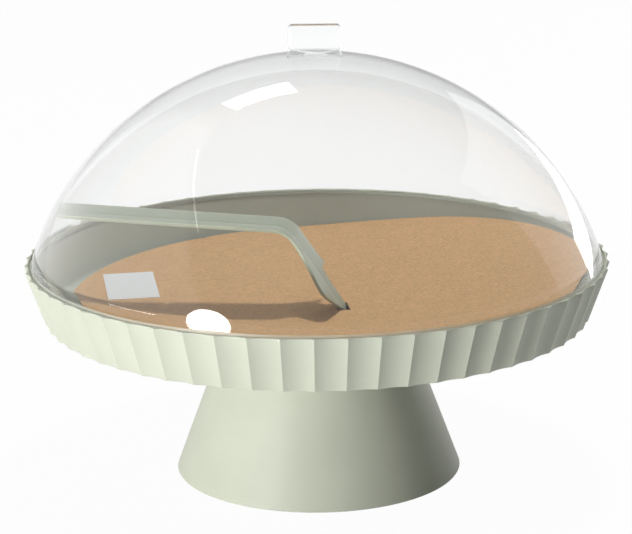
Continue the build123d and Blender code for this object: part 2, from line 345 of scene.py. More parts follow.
def rounded_corner(before, corner, after, radius, steps):
    """Points that round off one corner of a section."""
    to_before = (Vector(before) - Vector(corner)).normalized()
    to_after = (Vector(after) - Vector(corner)).normalized()
    half = to_before.angle(to_after) / 2
    centre = Vector(corner) + (to_before + to_after).normalized() * radius / sin(half)
    start = Vector(corner) + to_before * radius / tan(half) - centre
    end = Vector(corner) + to_after * radius / tan(half) - centre
    turn = start.angle_signed(end)
    points = []
    for step in range(steps + 1):
        spoke = Matrix.Rotation(-turn * step / steps, 2) @ start
        points.append(tuple(centre + spoke))
    return points


def rounded_path(points, radii, steps=4):
    """An open path through points, with its inner corners rounded by their own radii."""
    path = [points[0]]
    for index in range(1, len(points) - 1):
        radius = radii[index - 1]
        if radius > 0:
            path += rounded_corner(points[index - 1], points[index], points[index + 1], radius, steps)
        else:
            path.append(points[index])
    return path + [points[-1]]


def lathe(name, section, segments):
    """Closed solid of revolution from a section whose ends are on the axis."""
    bm = bmesh.new()
    rings = []
    for radius, height in section:
        if radius < TINY:
            rings.append([bm.verts.new((0, 0, height))] * segments)
        else:
            angles = [2 * pi * step / segments for step in range(segments)]
            rings.append([bm.verts.new(polar(radius, angle, height)) for angle in angles])
    join_rings(bm, rings, closed=True)
    bmesh.ops.recalc_face_normals(bm, faces=bm.faces)
    return mesh_object(name, bm)


def join_rings(bm, rings, closed):
    """Faces between neighbouring rings of vertices, with triangles at a pole."""
    for low, high in zip(rings, rings[1:]):
        count = len(low)
        for index in range(count if closed else count - 1):
            following = (index + 1) % count
            corners = [low[index], low[following], high[following], high[index]]
            unique = list(dict.fromkeys(corners))
            if len(unique) > 2:
                bm.faces.new(unique)


def flute_radius(ridge_radius, depth, offset, step, ridge_round):
    """Radius of the hollow outline at an angle from the middle of a flute."""
    half_chord = ridge_radius * sin(step / 2)
    sag = ridge_radius * cos(step / 2) - (ridge_radius - depth)
    hollow_radius = (half_chord**2 + sag**2) / (2 * sag)
    hollow_centre = ridge_radius - depth + hollow_radius
    radius = hollow_centre * cos(offset) - sqrt(hollow_radius**2 - (hollow_centre * sin(offset))**2)
    slope = asin(half_chord / hollow_radius) + step / 2
    aside = ridge_radius * (step / 2 - abs(offset))
    if aside < ridge_round * sin(slope):
        rounded = ridge_radius - ridge_round / cos(slope) + sqrt(ridge_round**2 - aside**2)
        radius = min(radius, rounded)
    return radius


def flute_offsets(step, rim_radius, ridge_round):
    """Angles across one flute, close together at the rounded ridges."""
    round_angle = ridge_round * 0.42 / rim_radius
    ridge_shares = (0, 0.35, 0.7, 1.0, 1.6)
    hollow_shares = (0.84, 0.66, 0.48, 0.3, 0.14)
    half = [step / 2 - round_angle * share for share in ridge_shares]
    half += [step / 2 * share for share in hollow_shares]
    return [-angle for angle in half] + [0.0] + half[::-1]


def tray_section(sizes):
    """The tray's section as (radius, height, flute depth), from under its middle to over it."""
    edge = 0.5 * MM
    base, rim = sizes.base_radius, sizes.rim_radius
    low, high = sizes.base_height, RIM_HEIGHT
    lean = atan2(rim - base, high - low)
    depth_low, depth_high = sizes.base_flute_depth, sizes.rim_flute_depth
    rows = [(0.0, low, 0.0)]
    rows += [(radius * MM, low, 0.0) for radius in UNDERSIDE_RINGS]
    outer = rounded_path(
        [(rows[-1][0], low), (base, low), (rim, high), (sizes.seat_radius + edge, high)],
        [edge, edge],
    )[1:-1]
    turn = len(outer) // 2
    for radius, height in outer[:turn]:
        rows.append((radius, height, depth_low))
    wall_steps = 8
    for step in range(1, wall_steps):
        share = step / wall_steps
        height = low + (high - low) * share
        radius = base + (height - low) * tan(lean)
        rows.append((radius, height, depth_low + (depth_high - depth_low) * share))
    for radius, height in outer[turn:]:
        rows.append((radius, height, depth_high))
    floor = low + sizes.floor_thickness
    rim_land = 0.7 * MM
    seat_edge, seat_corner, wall_edge = 0.3 * MM, 0.2 * MM, 0.4 * MM
    inner = rounded_path(
        [
            (sizes.seat_radius + rim_land, high),
            (sizes.seat_radius, high),
            (sizes.seat_radius, SEAT_HEIGHT),
            (sizes.wall_top_radius, SEAT_HEIGHT),
            (sizes.floor_radius, floor),
            (0.0, floor),
        ],
        [seat_edge, seat_corner, wall_edge, sizes.floor_round],
        steps=5,
    )
    rows += [(radius, height, 0.0) for radius, height in inner[1:-1]]
    rows += [(radius * MM, floor, 0.0) for radius in FLOOR_RINGS]
    rows.append((0.0, floor, 0.0))
    return rows


def tray_sector(sizes):
    """One flute's slice of the tray, from the axis to its ridges."""
    step = 2 * pi / sizes.flute_count
    middle = sizes.first_ridge_angle + step / 2
    offsets = flute_offsets(step, sizes.rim_radius, sizes.ridge_round)
    bm = bmesh.new()
    rings = []
    for radius, height, depth in tray_section(sizes):
        if radius == 0:
            rings.append([bm.verts.new((0, 0, height))] * len(offsets))
            continue
        ring = []
        for offset in offsets:
            here = radius
            if depth > 0:
                share = (height - sizes.base_height) / (RIM_HEIGHT - sizes.base_height)
                ridge = sizes.base_radius + (sizes.rim_radius - sizes.base_radius) * share
                outline = flute_radius(ridge, depth, offset, step, sizes.ridge_round)
                here = radius - (ridge - outline)
            ring.append(bm.verts.new(polar(here, middle + offset, height)))
        rings.append(ring)
    join_rings(bm, rings, closed=False)
    return mesh_object("flute_sector", bm)


def spigot_sector(sizes, top):
    """One lug's slice of the bayonet tube under the tray. A column of points has the tube's five
    and then the lug's two, or None where there is no lug."""
    inner, outer = sizes.radius - sizes.wall, sizes.radius
    reach = outer + sizes.lug_reach
    bottom = TRAY_LOW.z
    lug_top = bottom + sizes.lug_thickness
    plain = [(inner, bottom), (outer, bottom), (outer, lug_top), (outer, top), (inner, top)]
    lug = [(reach, bottom), (reach, lug_top)]
    half_slice = pi / sizes.lug_count
    lug_half = sizes.lug_half_angle
    free = half_slice - lug_half
    free_steps, lug_steps = 12, 8
    angles = [-half_slice + free * step / free_steps for step in range(free_steps + 1)]
    angles += [-lug_half + 2 * lug_half * step / lug_steps for step in range(1, lug_steps + 1)]
    angles += [lug_half + free * step / free_steps for step in range(1, free_steps + 1)]
    bm = bmesh.new()
    columns = []
    for angle in angles:
        column = [bm.verts.new(polar(radius, angle, height)) for radius, height in plain]
        has_lug = abs(angle) < lug_half + TINY
        for radius, height in lug:
            column.append(bm.verts.new(polar(radius, angle, height)) if has_lug else None)
        columns.append(column)
    for left, right in zip(columns, columns[1:]):
        with_lug = left[5] is not None and right[5] is not None
        pairs = [(0, 1), (2, 3), (3, 4), (4, 0)]
        pairs += [(1, 5), (5, 6), (6, 2)] if with_lug else [(1, 2)]
        for first, second in pairs:
            bm.faces.new((left[first], right[first], right[second], left[second]))
    for angle, column in zip(angles, columns):
        if abs(abs(angle) - lug_half) < TINY:
            bm.faces.new((column[1], column[5], column[6], column[2]))
    return mesh_object("lug_sector", bm)


def repeat_round_tree():
    """Geometry Nodes that repeat a slice round Z and weld the copies into one mesh."""
    tree = bpy.data.node_groups.new("repeat_round", "GeometryNodeTree")
    face = tree.interface
    face.new_socket("Slice", in_out="INPUT", socket_type="NodeSocketGeometry")
    face.new_socket("Copies", in_out="INPUT", socket_type="NodeSocketInt")
    face.new_socket("Weld distance", in_out="INPUT", socket_type="NodeSocketFloat")
    face.new_socket("Material", in_out="INPUT", socket_type="NodeSocketMaterial")
    face.new_socket("Geometry", in_out="OUTPUT", socket_type="NodeSocketGeometry")
    given = add_node(tree, "NodeGroupInput")
    points = add_node(tree, "GeometryNodePoints", {"Count": given.outputs["Copies"]})
    index = add_node(tree, "GeometryNodeInputIndex")
    step = add_node(
        tree, "ShaderNodeMath", {0: 2 * pi, 1: given.outputs["Copies"]}, operation="DIVIDE")
    angle = add_node(
        tree, "ShaderNodeMath", {0: index.outputs[0], 1: step.outputs[0]}, operation="MULTIPLY")
    turn = add_node(tree, "ShaderNodeCombineXYZ", {"Z": angle.outputs[0]})
    copies = add_node(tree, "GeometryNodeInstanceOnPoints", {
        "Points": points.outputs[0],
        "Instance": given.outputs["Slice"],
        "Rotation": turn.outputs[0],
    })
    real = add_node(tree, "GeometryNodeRealizeInstances", {"Geometry": copies.outputs[0]})
    welded = add_node(tree, "GeometryNodeMergeByDistance", {
        "Geometry": real.outputs[0],
        "Distance": given.outputs["Weld distance"],
    })
    painted = add_node(tree, "GeometryNodeSetMaterial", {
        "Geometry": welded.outputs[0],
        "Material": given.outputs["Material"],
    })
    add_node(tree, "NodeGroupOutput", {"Geometry": painted.outputs[0]})
    return tree


def repeat_round(name, slice_object, copies, material):
    """A plain mesh piece made of copies of a slice round Z."""
    tree = bpy.data.node_groups.get("repeat_round") or repeat_round_tree()
    modifier = slice_object.modifiers.new("repeat", "NODES")
    modifier.node_group = tree
    values = {"Copies": copies, "Weld distance": 0.002 * MM, "Material": material}
    for item in tree.interface.items_tree:
        if item.in_out == "INPUT" and item.name in values:
            modifier[item.identifier] = values[item.name]
    bake_modifiers(slice_object)
    slice_object.name = name
    bm = bmesh.new()
    bm.from_mesh(slice_object.data)
    bmesh.ops.recalc_face_normals(bm, faces=bm.faces)
    bm.to_mesh(slice_object.data)
    bm.free()
    smooth_by_angle(slice_object)
    return slice_object


def outline_mesh(outline, holes, inside_points, creases, place):
    """A sheet filled with triangles inside an outline, put in space by a function. A face stands
    where the outline holds it and no hole does, and every face looks up."""
    points = [Vector(point) for point in outline]
    edges = [(index, (index + 1) % len(points)) for index in range(len(points))]
    for hole in holes:
        first = len(points)
        points += [Vector(point) for point in hole]
        edges += [(first + index, first + (index + 1) % len(hole)) for index in range(len(hole))]
    for start, end in creases:
        points += [Vector(start), Vector(end)]
        edges.append((len(points) - 2, len(points) - 1))
    points += [Vector(point) for point in inside_points]
    same_point = 1e-7
    plan, _edges, faces = delaunay_2d_cdt(points, edges, [], 0, same_point)[:3]
    bm = bmesh.new()
    verts = [bm.verts.new(place(point.x, point.y)) for point in plan]
    for face in faces:
        middle = sum((plan[index] for index in face), Vector((0, 0))) / len(face)
        if within(middle, outline) and not any(within(middle, hole) for hole in holes):
            bm.faces.new([verts[index] for index in face])
    bmesh.ops.delete(bm, geom=[v for v in bm.verts if not v.link_faces], context="VERTS")
    for face in bm.faces:
        if face.normal.z < 0:
            face.normal_flip()
    return bm


def within(point, outline):
    """True if a point of the plan is inside a closed outline."""
    inside = False
    for index, (x1, y1) in enumerate(outline):
        x2, y2 = outline[index - 1]
        if (y1 > point.y) != (y2 > point.y):
            if point.x < (x2 - x1) * (point.y - y1) / (y2 - y1) + x1:
                inside = not inside
    return inside


def smooth_curve(points, steps):
    """Points of a soft curve through given points, without the last one."""
    ends = [2 * Vector(points[0]) - Vector(points[1]), 2 * Vector(points[-1]) - Vector(points[-2])]
    chain = [ends[0]] + [Vector(point) for point in points] + [ends[1]]
    made = []
    for index in range(1, len(chain) - 2):
        before, start, end, after = chain[index - 1:index + 3]
        for step in range(steps):
            t = step / steps
            made.append(tuple(0.5 * (
                2 * start
                + (end - before) * t
                + (2 * before - 5 * start + 4 * end - after) * t**2
                + (3 * start - before - 3 * end + after) * t**3
            )))
    return made


class BentStrip:
    """The server's bent middle surface, measured along it from the bend."""

    def __init__(self, sizes):
        half = sizes.thickness / 2
        self.sizes = sizes
        self.lean = atan2(sizes.bend_height - sizes.tip_height, sizes.bend_back)
        end = Vector((-sizes.end_back, sizes.end_height - half))
        self.corner = Vector((-sizes.bend_back - half * tan(self.lean / 2), sizes.bend_height - half))
        self.handle = (self.corner - end).normalized()
        self.blade = Vector((cos(self.lean), -sin(self.lean)))
        self.bend = acos(self.handle.dot(self.blade))
        self.reach = sizes.bend_radius * tan(self.bend / 2)
        self.shift = half * tan(self.bend / 2)

    def point(self, along, across):
        """Point of the middle surface; along is negative on the handle and positive on the blade."""
        sizes = self.sizes
        if along < -self.reach:
            spot = self.corner + self.handle * along
        elif along > self.reach:
            spot = self.corner + self.blade * along
        else:
            turned = self.bend * (along + self.reach) / (2 * self.reach)
            start = self.corner - self.handle * self.reach
            inward = Vector((self.handle.y, -self.handle.x))
            spot = start + self.handle * sizes.bend_radius * sin(turned)
            spot += inward * sizes.bend_radius * (1 - cos(turned))
        rib = max(0.0, 1 - abs(across) / sizes.rib_half_width)
        height = spot.y + abs(across) * sizes.valley_slope + sizes.rib_height * rib
        turn = Matrix.Rotation(sizes.turn, 2)
        plan = turn @ Vector((spot.x, across))
        return Vector((plan.x + sizes.tip_x, plan.y + sizes.tip_y, height))


# The blade's edges in millimetres, as distances from the bend and from the crease: the belly on
# the near side, the straighter far side, and the notch with the narrow edge past it to the point
BLADE_NEAR = (
    (-8, -13.5), (0, -12.8), (12, -10.2), (24, -16.3), (34.5, -23.3), (40, -21), (45, -13.3), (51, -2))
BLADE_FAR = ((-8, 13.5), (0, 13.6), (10, 14.6), (20, 15.2), (29.5, 17.5))
BLADE_CUT = ((29.5, 17.5), (29.2, 8.6), (35, 7.1), (52, 6.5), (52, -0.5))
# How far the blade reaches to each side of the crease where it passes through the card
BLADE_SLOT_NEAR = 5.0 * MM
BLADE_SLOT_FAR = 6.7 * MM
# Rows of points that shape the strip, along it from the bend and across it
BEND_ROWS = 14
STRIP_ROWS = (-115, -90, -65, -40, -20, 15, 25, 34, 45)
STRIP_SIDES = (-19, -9, 9)


def server_outline(sizes, strip):
    """The server's flat outline, as distances along and across the strip."""
    neck = sizes.handle_width / 2
    slope = strip.handle.x
    back = -(sizes.end_back - sizes.bend_back) / slope
    skew = sizes.end_skew / slope
    steps = 6
    near, far = smooth_curve(BLADE_NEAR, steps), smooth_curve(BLADE_FAR, steps)
    blade = near + list(BLADE_CUT[::-1]) + far[::-1]
    blade = [(x * MM - strip.shift, y * MM) for x, y in blade]
    return [(back, -neck)] + blade + [(back - skew, neck)]


def mark_rib(bm, sizes):
    """Marks the lines of the rib as seams, so that they can be kept sharp later on."""
    turn = Matrix.Rotation(-sizes.turn, 2)
    tip = Vector((sizes.tip_x, sizes.tip_y))
    slack = 0.01 * MM
    for edge in bm.edges:
        across = [abs((turn @ (vert.co.xy - tip)).y) for vert in edge.verts]
        edge.seam = max(across) < sizes.rib_half_width + slack


def shape_strip_edges(piece, sheet_count, sizes):
    """Rounds the strip's upper edge, slants its lower edge and keeps the rib's lines sharp."""
    bm = bmesh.new()
    bm.from_mesh(piece.data)
    bm.verts.ensure_lookup_table()
    first_is_upper = bm.verts[0].co.z > bm.verts[sheet_count].co.z
    corner_angle = radians(50)
    upper, lower = [], []
    for edge in bm.edges:
        if edge.is_manifold and edge.calc_face_angle() > corner_angle:
            start_is_first, end_is_first = [vert.index < sheet_count for vert in edge.verts]
            if start_is_first == end_is_first:
                side = upper if start_is_first == first_is_upper else lower
                side.append(edge)
    bmesh.ops.bevel(
        bm, geom=lower, offset=sizes.lower_slant, segments=1, affect="EDGES", profile=0.5)
    upper = [edge for edge in upper if edge.is_valid]
    bmesh.ops.bevel(
        bm, geom=upper, offset=sizes.upper_round, segments=2, affect="EDGES", profile=0.5)
    bm.to_mesh(piece.data)
    bm.free()
    smooth_by_angle(piece)
    for edge in piece.data.edges:
        if edge.use_seam:
            edge.use_edge_sharp = True


def outline_reach(outline, y):
    """How far along the strip its outline reaches at a distance from the crease."""
    reach = []
    for index, (x1, y1) in enumerate(outline):
        x2, y2 = outline[index - 1]
        if (y1 > y) != (y2 > y):
            reach.append(x1 + (x2 - x1) * (y - y1) / (y2 - y1))
    return max(reach)


def strip_shaping(sizes, strip, outline):
    """Points in the strip's flat outline that shape its bend, and the lines of its rib."""
    rib = sizes.rib_half_width
    rib_lines = (-rib, 0.0, rib)
    rows = [-strip.reach + 2 * strip.reach * step / BEND_ROWS for step in range(BEND_ROWS + 1)]
    rows += [row * MM for row in STRIP_ROWS]
    sides = [side * MM for side in STRIP_SIDES]
    inside = [(row, y) for row in rows for y in sides if within(Vector((row, y)), outline)]
    inside += [(row, y) for row in rows for y in rib_lines]
    creases = []
    for y in rib_lines:
        share = (y + sizes.handle_width / 2) / sizes.handle_width
        start = outline[0][0] + (outline[-1][0] - outline[0][0]) * share
        creases.append(((start, y), (outline_reach(outline, y), y)))
    return inside, creases


class CAKESTAND_OT_server(Operator):
    """Build the cake server"""

    bl_idname = "cakestand.server"
    bl_label = "Server"

    def execute(self, context):
        sizes = context.scene.cakestand_server
        strip = BentStrip(sizes)
        outline = server_outline(sizes, strip)
        inside, creases = strip_shaping(sizes, strip, outline)
        bm = outline_mesh(outline, [], inside, creases, strip.point)
        mark_rib(bm, sizes)
        sheet_count = len(bm.verts)
        piece = mesh_object("cake_server_strip", bm)
        solid = piece.modifiers.new("thickness", "SOLIDIFY")
        solid.thickness = sizes.thickness
        solid.offset = 0
        solid.use_even_offset = True
        bake_modifiers(piece)
        shape_strip_edges(piece, sheet_count, sizes)
        # The server gets the darker copy of the plastic, which is painted shade
        place_piece(piece, "tray", "cake_server", server_plastic_painted_shade(context))
        return {"FINISHED"}


class CAKESTAND_OT_tray(Operator):
    """Build the fluted tray and the bayonet tube under it"""

    bl_idname = "cakestand.tray"
    bl_label = "Tray"

    def execute(self, context):
        sizes = context.scene.cakestand_tray
        spigot = context.scene.cakestand_spigot
        plastic = sage_plastic(context)
        tray = repeat_round("fluted_tray", tray_sector(sizes), sizes.flute_count, plastic)
        place_piece(tray, "tray", "tray")
        top = sizes.base_height + sizes.floor_thickness / 4
        tube = repeat_round("bayonet_tube", spigot_sector(spigot, top), spigot.lug_count, plastic)
        place_piece(tube, "tray", "tray")
        return {"FINISHED"}


class CAKESTAND_OT_foot(Operator):
    """Finish the conical foot"""

    bl_idname = "cakestand.foot"
    bl_label = "Foot"

    def execute(self, context):
        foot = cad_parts["foot"]
        foot.data.materials.clear()
        foot.data.materials.append(sage_plastic(context))
        return {"FINISHED"}


def dome_radius(sizes):
    """Radius of the sphere that the dome's outside is a cap of."""
    rise = CROWN_HEIGHT - SEAT_HEIGHT
    return (sizes.foot_radius**2 + rise**2) / (2 * rise)


def dome_section(sizes):
    """The dome's section from the crown down its outside, round its lip and up its inside."""
    foot = SEAT_HEIGHT + sizes.seat_gap
    radius = dome_radius(sizes)
    centre = CROWN_HEIGHT - radius
    inner = radius - sizes.wall
    lip_inner = sizes.foot_radius - sizes.lip_thickness
    lip_top = SEAT_HEIGHT + sizes.lip_height
    foot_angle = asin((foot - centre) / radius)
    ledge_angle = asin((lip_top - centre) / inner)
    outside = arc((0, centre), radius, pi / 2, foot_angle, DOME_STEPS)
    inside = arc((0, centre), inner, ledge_angle, pi / 2, DOME_STEPS)
    outside[0] = (0.0, CROWN_HEIGHT)
    inside[-1] = (0.0, CROWN_HEIGHT - sizes.wall)
    corners = [outside[-2], outside[-1], (lip_inner, foot), (lip_inner, lip_top)]
    lip = rounded_path(corners, [sizes.edge_round, sizes.edge_round], steps=5)
    return outside[:-2] + lip[:-1] + inside


class CAKESTAND_OT_dome(Operator):
    """Build the clear dome with its thicker lip"""

    bl_idname = "cakestand.dome"
    bl_label = "Dome"

    def execute(self, context):
        sizes = context.scene.cakestand_dome
        piece = lathe("clear_dome", dome_section(sizes), DOME_SEGMENTS)
        piece.data.materials.append(clear_plastic(context))
        # The foot's faces just over the tray's rim take a whitish painted highlight
        piece.data.materials.append(whitish_foot_painted_highlight())
        for face in piece.data.polygons:
            if face.center.z < RIM_HEIGHT + sizes.highlight_band_height:
                face.material_index = 1
        place_piece(piece, "dome", "dome_shell")
        return {"FINISHED"}


def tab_outline(sizes, dome):
    """The tab's outline from the front, with a sole that follows the dome."""
    radius = dome_radius(dome)
    half = sizes.width / 2
    foot_half, _depth, top = TAB_HIGH
    glue = 0.03 * MM
    sole = []
    for step in range(SOLE_STEPS + 1):
        x = -foot_half + 2 * foot_half * step / SOLE_STEPS
        sole.append((x, CROWN_HEIGHT - radius + sqrt(radius**2 - x**2) + glue))
    waist = CROWN_HEIGHT + sizes.flare_height
    right = rounded_path([(half, waist), (half, top), (-half, top)], [sizes.corner_round], 6)[:-1]
    left = [(-x, z) for x, z in right[::-1]]
    return sole + [(foot_half, CROWN_HEIGHT)] + right + left + [(-foot_half, CROWN_HEIGHT)]


class CAKESTAND_OT_tab(Operator):
    """Build the clear finger tab on the dome's crown"""

    bl_idname = "cakestand.tab"
    bl_label = "Tab"

    def execute(self, context):
        sizes = context.scene.cakestand_tab
        outline = tab_outline(sizes, context.scene.cakestand_dome)
        depth = TAB_HIGH.y
        bm = bmesh.new()
        front = bm.faces.new([bm.verts.new((x, -depth, z)) for x, z in outline])
        made = bmesh.ops.extrude_face_region(bm, geom=[front])
        moved = [item for item in made["geom"] if isinstance(item, bmesh.types.BMVert)]
        bmesh.ops.translate(bm, verts=moved, vec=(0, 2 * depth, 0))
        bmesh.ops.recalc_face_normals(bm, faces=bm.faces)
        just_below_crown = CROWN_HEIGHT - 0.1 * MM
        rims = []
        for edge in bm.edges:
            start, end = (vert.co for vert in edge.verts)
            if abs(start.y - end.y) < TINY and min(start.z, end.z) > just_below_crown:
                rims.append(edge)
        bmesh.ops.bevel(
            bm, geom=rims, offset=sizes.edge_round, segments=4, affect="EDGES", profile=0.5)
        bmesh.ops.recalc_face_normals(bm, faces=bm.faces)
        piece = mesh_object("clear_tab", bm)
        place_piece(piece, "dome", "dome_tab", clear_plastic(context))
        return {"FINISHED"}


def card_height(sizes, x, y):
    """Height of the card's underside over a point of the plan."""
    start_x = sizes.centre_x + sizes.fold_start * cos(sizes.fold_turn)
    start_y = sizes.centre_y + sizes.fold_start * sin(sizes.fold_turn)
    along = (x - start_x) * cos(sizes.fold_turn) + (y - start_y) * sin(sizes.fold_turn)
    bend_radius = sizes.bend_length / sizes.bend_angle
    bend_end = bend_radius * sin(sizes.bend_angle)
    rise = 0.0
    if along > bend_end:
        rise = bend_radius * (1 - cos(sizes.bend_angle)) + (along - bend_end) * tan(sizes.bend_angle)
    elif along > 0:
        rise = bend_radius - sqrt(bend_radius**2 - along**2)
    lean = (y - start_y) * tan(sizes.tilt_back) + (x - start_x) * tan(sizes.tilt_right)
    return sizes.flat_height + rise + lean


# The soft crease on the card's left, in the plan
CREASE_TOP = Vector((-64.0, 112.0)) * MM
CREASE_LOW = Vector((-78.8, -24.0)) * MM
CREASE_DEPTH = 1.1 * MM
CREASE_HALF_WIDTH = 4 * MM


def crease_dip(x, y):
    """How far the card sinks along its old soft crease on the left."""
    line = CREASE_LOW - CREASE_TOP
    spoke = Vector((x, y)) - CREASE_TOP
    share = spoke.dot(line) / line.length_squared
    aside = (spoke - line * share).length
    fade_in = max(0.0, min(1.0, (share + 0.3) * 2))
    fade_out = max(0.0, min(1.0, (1.35 - share) * 2))
    return CREASE_DEPTH * fade_in * fade_out * max(0.0, 1 - aside / CREASE_HALF_WIDTH)**2


def crease_points():
    """Points of the plan along the crease, close enough together to shape it."""
    line = CREASE_LOW - CREASE_TOP
    aside = Vector((-line.y, line.x)).normalized() * CREASE_HALF_WIDTH
    made = []
    steps, overrun = 50, 0.1
    for step in range(int(steps * (1 + 2 * overrun)) + 1):
        spot = CREASE_TOP + line * (step / steps - overrun)
        made += [tuple(spot + aside * share) for share in (-1, -0.5, 0, 0.5, 1)]
    return made


def card_outline(sizes):
    """The disc's round edge in the plan."""
    outline = []
    for step in range(CARD_STEPS):
        angle = 2 * pi * step / CARD_STEPS
        outline.append((
            sizes.centre_x + sizes.radius * cos(angle),
            sizes.centre_y + sizes.radius * sin(angle),
        ))
    return outline


def card_points(sizes):
    """A grid of points that shapes the disc's soft bend."""
    cells = int(sizes.radius / CARD_SPACING)
    inside = []
    for row in range(-cells, cells + 1):
        for column in range(-cells, cells + 1):
            x = sizes.centre_x + column * CARD_SPACING
            y = sizes.centre_y + row * CARD_SPACING
            if hypot(column, row) * CARD_SPACING < sizes.radius - CARD_MARGIN:
                inside.append((x, y))
    return inside


class CAKESTAND_OT_card(Operator):
    """Build the bent board disc with its opening for the blade"""

    bl_idname = "cakestand.card"
    bl_label = "Card"

    def execute(self, context):
        sizes = context.scene.cakestand_card
        server = context.scene.cakestand_server
        hole = card_hole(sizes, server)
        inside = card_points(sizes) + crease_points()

        def place(x, y):
            return Vector((x, y, card_height(sizes, x, y) - crease_dip(x, y)))

        bm = outline_mesh(card_outline(sizes), [hole], inside, [], place)
        piece = mesh_object("kraft_disc", bm)
        solid = piece.modifiers.new("thickness", "SOLIDIFY")
        solid.thickness = sizes.thickness
        solid.offset = 1
        solid.material_offset_rim = 1
        piece.data.materials.append(kraft_board(context))
        piece.data.materials.append(board_edge(context))
        bake_modifiers(piece)
        place_piece(piece, "tray", "card_insert")
        return {"FINISHED"}


class CAKESTAND_OT_label(Operator):
    """Build the blank paper label on the card"""

    bl_idname = "cakestand.label"
    bl_label = "Label"

    def execute(self, context):
        sizes = context.scene.cakestand_card
        middle = Vector((sizes.label_x, sizes.label_y))
        turn = Matrix.Rotation(sizes.label_turn, 2)
        outline = []
        for side, end in ((-1, -1), (1, -1), (1, 1), (-1, 1)):
            corner = Vector((side * sizes.label_width / 2, end * sizes.label_length / 2))
            outline.append(tuple(middle + turn @ corner))

        glue = 0.02 * MM

        def place(x, y):
            return Vector((x, y, card_height(sizes, x, y) + sizes.thickness + glue))

        piece = mesh_object("blank_label", outline_mesh(outline, [], [], [], place))
        solid = piece.modifiers.new("thickness", "SOLIDIFY")
        solid.thickness = sizes.label_thickness
        solid.offset = 1
        bake_modifiers(piece)
        place_piece(piece, "tray", "card_label", label_paper())
        return {"FINISHED"}


def card_hole(card, server):
    """Outline of the opening round the blade's tip, which gapes a little in front of it."""
    lean = atan2(server.bend_height - server.tip_height, server.bend_back)
    top = card.flat_height + card.thickness
    gap, gape = 0.4 * MM, 3.2 * MM
    near = BLADE_SLOT_NEAR + gap
    far = BLADE_SLOT_FAR + gap
    right = (server.tip_height - card.flat_height) / tan(lean) + gap
    left = (server.tip_height - top) / tan(lean) - server.thickness / sin(lean) - gap
    points = [(left, -near), (right + gape, -near), (right, far), (left, far)]
    turn = Matrix.Rotation(server.turn, 2)
    spot = Vector((server.tip_x, server.tip_y))
    return [tuple(turn @ Vector(point) + spot) for point in points]


def new_material(name):
    """An empty node material."""
    material = bpy.data.materials.new(name)
    material.use_nodes = True
    material.node_tree.nodes.clear()
    return material


def object_place(tree):
    """The object's own coordinates, in metres."""
    return add_node(tree, "ShaderNodeTexCoord").outputs["Object"]


def noise(tree, place, lump, detail, roughness):
    """Soft noise with lumps of about the given size."""
    return add_node(tree, "ShaderNodeTexNoise", {
        "Vector": place, "Scale": 1 / lump, "Detail": detail, "Roughness": roughness}).outputs["Fac"]


def spread(tree, value, source, target):
    """A value taken from one range to another, and held at the ends."""
    return add_node(tree, "ShaderNodeMapRange", {
        "Value": value,
        "From Min": source[0],
        "From Max": source[1],
        "To Min": target[0],
        "To Max": target[1],
    }).outputs[0]


def shaded(tree, colour, shade):
    """A colour made darker or paler by a shade."""
    return add_node(tree, "ShaderNodeMix", {
        0: 1.0, 6: tuple(colour), 7: shade}, data_type="RGBA", blend_type="MULTIPLY").outputs[2]


def relief(tree, height, strength, depth):
    """Fine relief for a shader's normal."""
    return add_node(tree, "ShaderNodeBump", {
        "Strength": strength, "Distance": depth, "Height": height}).outputs[0]


def principled(tree, inputs):
    """The main shader, joined to the material's output."""
    shader = add_node(tree, "ShaderNodeBsdfPrincipled", inputs)
    add_node(tree, "ShaderNodeOutputMaterial", {"Surface": shader.outputs[0]})


def sage_plastic(context):
    """Injection-moulded polypropylene with a fine satin spark finish: soft broad sheen, no grain
    to see from a step away, and a faint unevenness where the melt flowed."""
    return satin_plastic("sage_satin_polypropylene", context.scene.cakestand_tray.plastic)


def server_plastic_painted_shade(context):
    """The same polypropylene in a darker colour on the server: painted shade on its handle and blade."""
    return satin_plastic("sage_polypropylene_painted_shade", context.scene.cakestand_server.plastic)


def satin_plastic(name, colour):
    """Satin polypropylene of a colour: broad flow clouds shift its shade and its sheen a little,
    and the spark finish is a very shallow fine relief."""
    found = bpy.data.materials.get(name)
    if found:
        return found
    material = new_material(name)
    tree = material.node_tree
    place = object_place(tree)
    cloud = noise(tree, place, 35 * MM, 3.0, 0.5)
    grain = noise(tree, place, 0.6 * MM, 2.0, 0.6)
    shade = spread(tree, cloud, (0.35, 0.65), (0.97, 1.02))
    principled(tree, {
        "Base Color": shaded(tree, colour, shade),
        "Roughness": spread(tree, cloud, (0.3, 0.7), (0.42, 0.5)),
        "IOR": 1.49,
        "Specular IOR Level": 0.25,
        "Normal": relief(tree, grain, 0.12, 0.03 * MM),
    })
    return material


